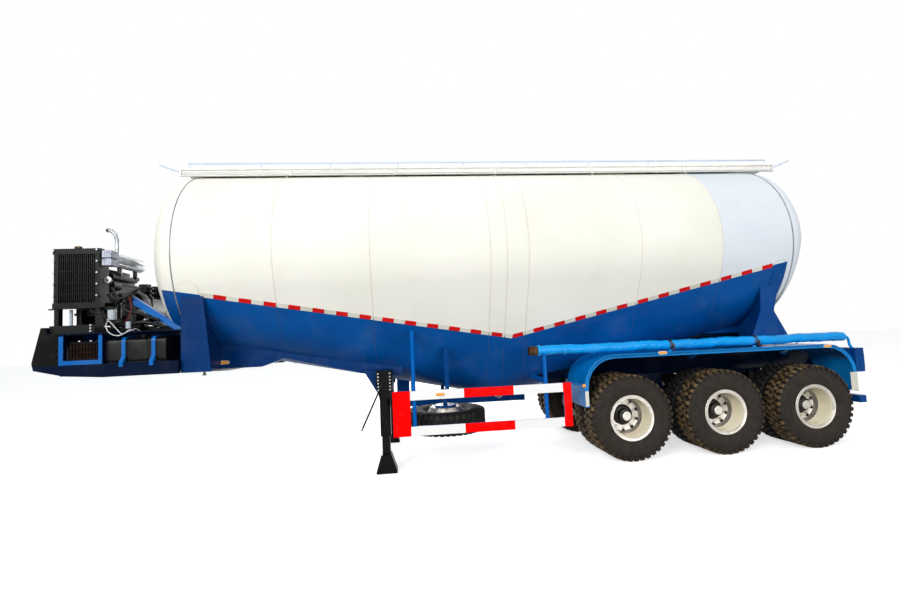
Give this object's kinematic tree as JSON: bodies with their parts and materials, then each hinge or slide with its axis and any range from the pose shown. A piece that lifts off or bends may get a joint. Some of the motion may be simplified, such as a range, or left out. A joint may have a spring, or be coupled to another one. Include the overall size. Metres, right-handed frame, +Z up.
{
  "type": "tanker trailer",
  "caption": "Dry bulk tank semi-trailer with a deepened belly, engine and compressor deck ahead of the tank, twin-wheel axles, landing legs and side guards.",
  "frame": {"origin": "on the ground below the middle of the overall box", "axes": "+X towards the towing end, +Y to the left side, +Z up"},
  "size_m": [10.74, 2.5, 4.3189],
  "materials": {
    "bare_steel": "matte",
    "black_paint": "satin",
    "bright_blue_paint": "gloss",
    "cream_white_paint": "satin",
    "dark_tank_paint": "satin",
    "deep_blue_paint": "gloss",
    "red_paint": "gloss",
    "silver_steel": "satin",
    "tyre_rubber": "matte"
  },
  "bodies": {
    "trailer": {"air_compressor": "black_paint", "axle_1": "black_paint", "axle_2": "black_paint", "axle_3": "black_paint", "battery_box": "black_paint", "bogie_frame": "deep_blue_paint", "carried_hose": "bright_blue_paint", "coupler_plate": "bare_steel", "discharge_pipe": "bare_steel", "engine": "black_paint", "engine_deck": "deep_blue_paint", "fender_left": "bright_blue_paint", "fender_right": "bright_blue_paint", "front_frame": "deep_blue_paint", "fuel_tank": "dark_tank_paint", "fuel_tank_cradle": "bright_blue_paint", "landing_leg_left": "black_paint", "landing_leg_right": "black_paint", "leg_cross_shaft": "black_paint", "manhole_neck_1": "cream_white_paint", "manhole_neck_2": "cream_white_paint", "muffler": "silver_steel", "radiator": "black_paint", "rear_bumper": "deep_blue_paint", "rear_ladder": "cream_white_paint", "rear_lamp_panel": "deep_blue_paint", "rear_saddle_left": "deep_blue_paint", "rear_saddle_right": "deep_blue_paint", "side_guard_left": "red_paint", "side_guard_right": "red_paint", "spare_carrier": "deep_blue_paint", "spare_rim": "silver_steel", "spare_tyre": "tyre_rubber", "tank_front_barrel": "cream_white_paint", "tank_front_head": "cream_white_paint", "tank_rear_barrel": "cream_white_paint", "tank_rear_head": "cream_white_paint", "walkway": "cream_white_paint"},
    "twin_wheel_1_left": {"wheel_1_left": "silver_steel", "tyre_1_left_outer": "tyre_rubber", "tyre_1_left_inner": "tyre_rubber"},
    "twin_wheel_1_right": {"wheel_1_right": "silver_steel", "tyre_1_right_outer": "tyre_rubber", "tyre_1_right_inner": "tyre_rubber"},
    "twin_wheel_2_left": {"wheel_2_left": "silver_steel", "tyre_2_left_outer": "tyre_rubber", "tyre_2_left_inner": "tyre_rubber"},
    "twin_wheel_2_right": {"wheel_2_right": "silver_steel", "tyre_2_right_outer": "tyre_rubber", "tyre_2_right_inner": "tyre_rubber"},
    "twin_wheel_3_left": {"wheel_3_left": "silver_steel", "tyre_3_left_outer": "tyre_rubber", "tyre_3_left_inner": "tyre_rubber"},
    "twin_wheel_3_right": {"wheel_3_right": "silver_steel", "tyre_3_right_outer": "tyre_rubber", "tyre_3_right_inner": "tyre_rubber"},
    "fan": {"radiator_fan": "silver_steel"},
    "lid_1": {"manhole_lid_1": "silver_steel"},
    "lid_2": {"manhole_lid_2": "silver_steel"}
  },
  "joints": [
    {"name": "wheel_1_left_spin", "type": "hinge", "parent": "trailer", "child": "twin_wheel_1_left", "pos_m": [-1.9, 0.92, 0.561], "axis": [0, 1, 0], "continuous": true},
    {"name": "wheel_1_right_spin", "type": "hinge", "parent": "trailer", "child": "twin_wheel_1_right", "pos_m": [-1.9, -0.92, 0.561], "axis": [0, 1, 0], "continuous": true},
    {"name": "wheel_2_left_spin", "type": "hinge", "parent": "trailer", "child": "twin_wheel_2_left", "pos_m": [-3.21, 0.92, 0.561], "axis": [0, 1, 0], "continuous": true},
    {"name": "wheel_2_right_spin", "type": "hinge", "parent": "trailer", "child": "twin_wheel_2_right", "pos_m": [-3.21, -0.92, 0.561], "axis": [0, 1, 0], "continuous": true},
    {"name": "wheel_3_left_spin", "type": "hinge", "parent": "trailer", "child": "twin_wheel_3_left", "pos_m": [-4.52, 0.92, 0.561], "axis": [0, 1, 0], "continuous": true},
    {"name": "wheel_3_right_spin", "type": "hinge", "parent": "trailer", "child": "twin_wheel_3_right", "pos_m": [-4.52, -0.92, 0.561], "axis": [0, 1, 0], "continuous": true},
    {"name": "radiator_fan_spin", "type": "hinge", "parent": "trailer", "child": "fan", "pos_m": [4.99, 0.905, 2.6], "axis": [0, 1, 0], "continuous": true},
    {"name": "manhole_lid_1_hinge", "type": "hinge", "parent": "trailer", "child": "lid_1", "pos_m": [1.375, 0, 4.271], "axis": [0, -1, 0], "range_deg": [0, 110]},
    {"name": "manhole_lid_2_hinge", "type": "hinge", "parent": "trailer", "child": "lid_2", "pos_m": [-2.725, 0, 4.271], "axis": [0, -1, 0], "range_deg": [0, 110]}
  ]
}
